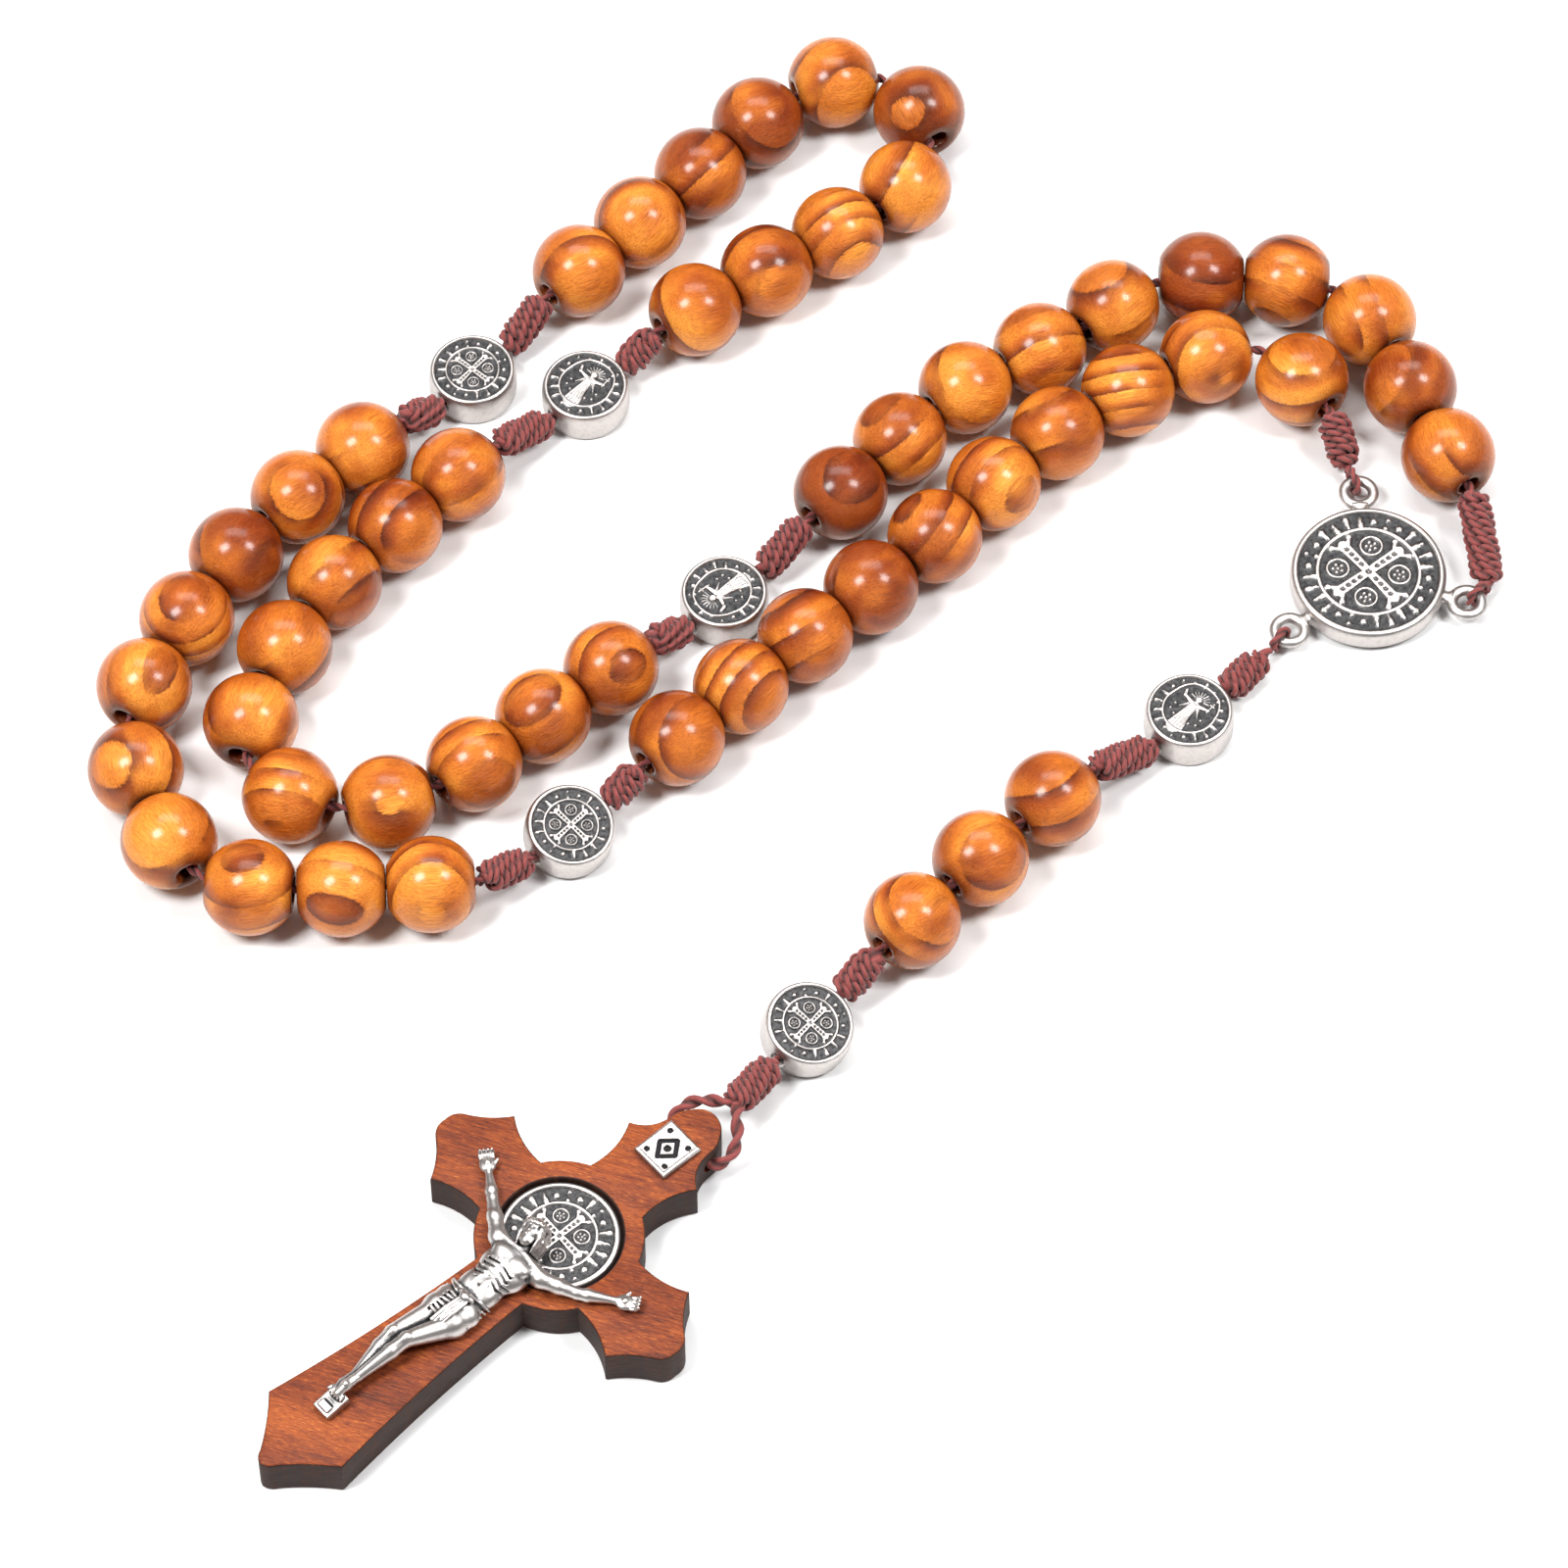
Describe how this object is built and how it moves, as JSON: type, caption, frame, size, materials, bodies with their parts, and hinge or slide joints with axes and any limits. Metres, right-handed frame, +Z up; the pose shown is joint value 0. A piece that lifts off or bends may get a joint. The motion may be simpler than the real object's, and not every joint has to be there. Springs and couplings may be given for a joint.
{
  "type": "rosary",
  "caption": "Cord rosary of round wooden beads and thick medal beads between wrapped knots, with a three-way centrepiece and a wooden crucifix.",
  "frame": {"origin": "on the resting surface, under the middle of the whole layout's box", "axes": "+Z up from the surface, +Y away from the viewer, +X to the viewer's right; the crucifix lies at -Y"},
  "size_m": [0.1467, 0.1732, 0.01],
  "materials": {
    "varnished_pine": "glossy varnish over banded softwood",
    "stained_hardwood": "satin stain, charred edges",
    "antique_silver": "silvered die cast with darkened recesses",
    "maroon_cord": "twisted nylon, slight sheen"
  },
  "bodies": {
    "root": {"centrepiece": "antique_silver", "decade_1_beads": "varnished_pine", "decade_2_beads": "varnished_pine", "decade_4_beads": "varnished_pine", "decade_5_beads": "varnished_pine", "knot_1": "maroon_cord", "knot_2": "maroon_cord", "knot_3": "maroon_cord", "knot_8": "maroon_cord", "knot_9": "maroon_cord", "knot_10": "maroon_cord", "decade_1_cord": "maroon_cord", "decade_2_cord": "maroon_cord", "decade_4_cord": "maroon_cord", "decade_5_cord": "maroon_cord", "medal_1_cord": "maroon_cord", "medal_4_cord": "maroon_cord", "left_eyelet_loop": "maroon_cord", "right_eyelet_loop": "maroon_cord"},
    "far_loop": {"decade_3_beads": "varnished_pine", "knot_4": "maroon_cord", "knot_5": "maroon_cord", "knot_6": "maroon_cord", "knot_7": "maroon_cord", "decade_3_cord": "maroon_cord", "medal_2_cord": "maroon_cord", "medal_3_cord": "maroon_cord"},
    "eyelet_loop": {"pendant_eyelet_loop": "maroon_cord"},
    "pendant_upper": {"pendant_neck": "maroon_cord", "knot_11": "maroon_cord", "knot_12": "maroon_cord", "medal_5_cord": "maroon_cord"},
    "pendant_lower": {"knot_13": "maroon_cord", "knot_14": "maroon_cord", "pendant_cord": "maroon_cord", "medal_6_cord": "maroon_cord", "crucifix_loop": "maroon_cord"},
    "crucifix": {"cross": "stained_hardwood", "cross_medal": "antique_silver", "corpus": "antique_silver", "title_plate": "antique_silver"},
    "medal_1": {"medal_bead_1": "antique_silver"},
    "medal_2": {"medal_bead_2": "antique_silver"},
    "medal_3": {"medal_bead_3": "antique_silver"},
    "medal_4": {"medal_bead_4": "antique_silver"},
    "medal_5": {"medal_bead_5": "antique_silver"},
    "medal_6": {"medal_bead_6": "antique_silver"},
    "bead_1": {"pendant_bead_1": "varnished_pine"},
    "bead_2": {"pendant_bead_2": "varnished_pine"},
    "bead_3": {"pendant_bead_3": "varnished_pine"}
  },
  "joints": [
    {"name": "far_loop_fold", "type": "hinge", "parent": "root", "child": "far_loop", "pos_m": [-0.03748, 0.03558, 0.005], "axis": [0.9507, -0.3101, 0], "range_deg": [0, 60]},
    {"name": "pendant_swivel", "type": "hinge", "parent": "root", "child": "eyelet_loop", "pos_m": [0.05097, 0.01311, 0.00175], "axis": [0, 0, 1], "range_deg": [-10, 70]},
    {"name": "pendant_lift", "type": "hinge", "parent": "eyelet_loop", "child": "pendant_upper", "pos_m": [0.04993, 0.01196, 0.00175], "axis": [-0.7427, 0.6696, 0], "range_deg": [0, 60]},
    {"name": "pendant_fold", "type": "hinge", "parent": "pendant_upper", "child": "pendant_lower", "pos_m": [0.02952, -0.00635, 0.005], "axis": [-0.6511, 0.759, 0], "range_deg": [0, 45]},
    {"name": "crucifix_swing", "type": "hinge", "parent": "pendant_lower", "child": "crucifix", "pos_m": [-0.01095, -0.04889, 0.0025], "axis": [-0.6613, 0.7501, 0], "range_deg": [0, 90]},
    {"name": "medal_1_spin", "type": "hinge", "parent": "root", "child": "medal_1", "pos_m": [-0.02377, -0.01222, 0.0028], "axis": [-0.7568, -0.6537, 0], "continuous": true},
    {"name": "medal_2_spin", "type": "hinge", "parent": "far_loop", "child": "medal_2", "pos_m": [-0.03485, 0.04482, 0.002], "axis": [0.6717, 0.7408, 0], "continuous": true},
    {"name": "medal_3_spin", "type": "hinge", "parent": "far_loop", "child": "medal_3", "pos_m": [-0.02282, 0.04279, 0.002], "axis": [-0.7587, -0.6514, 0], "continuous": true},
    {"name": "medal_4_spin", "type": "hinge", "parent": "root", "child": "medal_4", "pos_m": [-0.00799, 0.01659, 0.002], "axis": [0.7369, 0.6761, 0], "continuous": true},
    {"name": "medal_5_spin", "type": "hinge", "parent": "pendant_upper", "child": "medal_5", "pos_m": [0.04014, 0.00191, 0.002], "axis": [-0.7456, -0.6664, 0], "continuous": true},
    {"name": "medal_6_spin", "type": "hinge", "parent": "pendant_lower", "child": "medal_6", "pos_m": [0.00056, -0.03572, 0.00292], "axis": [-0.6469, -0.7626, 0], "continuous": true},
    {"name": "pendant_bead_1_spin", "type": "hinge", "parent": "pendant_lower", "child": "bead_1", "pos_m": [0.02576, -0.00957, 0.005], "axis": [-0.7549, -0.6558, 0], "continuous": true},
    {"name": "pendant_bead_2_spin", "type": "hinge", "parent": "pendant_lower", "child": "bead_2", "pos_m": [0.01827, -0.01676, 0.005], "axis": [-0.6866, -0.7271, 0], "continuous": true},
    {"name": "pendant_bead_3_spin", "type": "hinge", "parent": "pendant_lower", "child": "bead_3", "pos_m": [0.01128, -0.02414, 0.005], "axis": [-0.6885, -0.7252, 0], "continuous": true}
  ]
}
